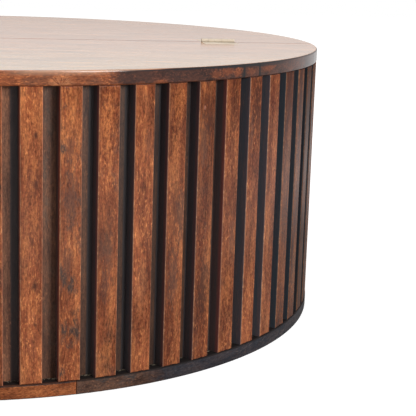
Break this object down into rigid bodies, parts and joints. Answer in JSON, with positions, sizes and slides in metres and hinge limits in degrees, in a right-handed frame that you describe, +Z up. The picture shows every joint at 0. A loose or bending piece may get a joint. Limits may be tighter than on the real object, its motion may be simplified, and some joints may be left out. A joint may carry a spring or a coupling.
{
  "type": "drum coffee table",
  "caption": "Low round drum coffee table in stained hardwood with a wall of upright slats and a brass-hinged half lid over a storage space.",
  "frame": {"origin": "centre of the base ring, on the surface that the table stands on", "axes": "+Z up, -Y towards the front edge of the lid, +X to the right seen from the front; the seam runs along X"},
  "size_m": [0.9, 0.9, 0.3545],
  "materials": {
    "top_wood": "satin lacquer over stained hardwood",
    "slat_wood": "satin lacquer over stained hardwood",
    "wall_wood": "stained hardwood-faced board",
    "ring_wood": "satin lacquer over stained hardwood",
    "frame_wood": "plain planed wood",
    "plywood": "plain plywood",
    "brass": "polished and lacquered",
    "screw_steel": "zinc plated"
  },
  "bodies": {
    "drum_body": {"base_ring_segment_1": "ring_wood", "base_ring_segment_2": "ring_wood", "base_ring_segment_3": "ring_wood", "base_ring_segment_4": "ring_wood", "base_ring_segment_5": "ring_wood", "base_ring_segment_6": "ring_wood", "bearer_screws": "screw_steel", "centre_rail": "frame_wood", "fixed_top_batten_left": "frame_wood", "fixed_top_batten_right": "frame_wood", "fixed_top_batten_screws": "screw_steel", "fixed_top_board_front": "top_wood", "fixed_top_board_middle": "top_wood", "fixed_top_board_rear": "top_wood", "floor_bearer_front": "frame_wood", "floor_bearer_rear": "frame_wood", "floor_panel": "plywood", "floor_screws": "screw_steel", "hinge_fixed_leaf_left": "brass", "hinge_fixed_leaf_right": "brass", "hinge_pin_left": "brass", "hinge_pin_right": "brass", "hinge_screws_fixed": "brass", "hoop_front": "frame_wood", "hoop_rear": "frame_wood", "hoop_screws": "screw_steel", "hoop_top_screws": "screw_steel", "post_screws": "screw_steel", "rail_dowels": "frame_wood", "rail_post_left": "frame_wood", "rail_post_right": "frame_wood", "rail_screws": "screw_steel", "ring_screws": "screw_steel", "slats_front_left": "slat_wood", "slats_front_right": "slat_wood", "slats_rear_left": "slat_wood", "slats_rear_right": "slat_wood", "wall_batten_front": "frame_wood", "wall_batten_rear": "frame_wood", "wall_batten_screws": "screw_steel", "wall_panel_front_left": "wall_wood", "wall_panel_front_right": "wall_wood", "wall_panel_rear_left": "wall_wood", "wall_panel_rear_right": "wall_wood"},
    "lid": {"hinge_lid_leaf_left": "brass", "hinge_lid_leaf_right": "brass", "hinge_screws_lid": "brass", "lid_batten_left": "frame_wood", "lid_batten_right": "frame_wood", "lid_batten_screws": "screw_steel", "lid_board_back": "top_wood", "lid_board_front": "top_wood", "lid_board_middle": "top_wood", "lid_board_strip": "top_wood"}
  },
  "joints": [
    {"name": "lid_hinge", "type": "hinge", "parent": "drum_body", "child": "lid", "pos_m": [0, -0.04, 0.35125], "axis": [-1, 0, 0], "range_deg": [0, 180]}
  ]
}
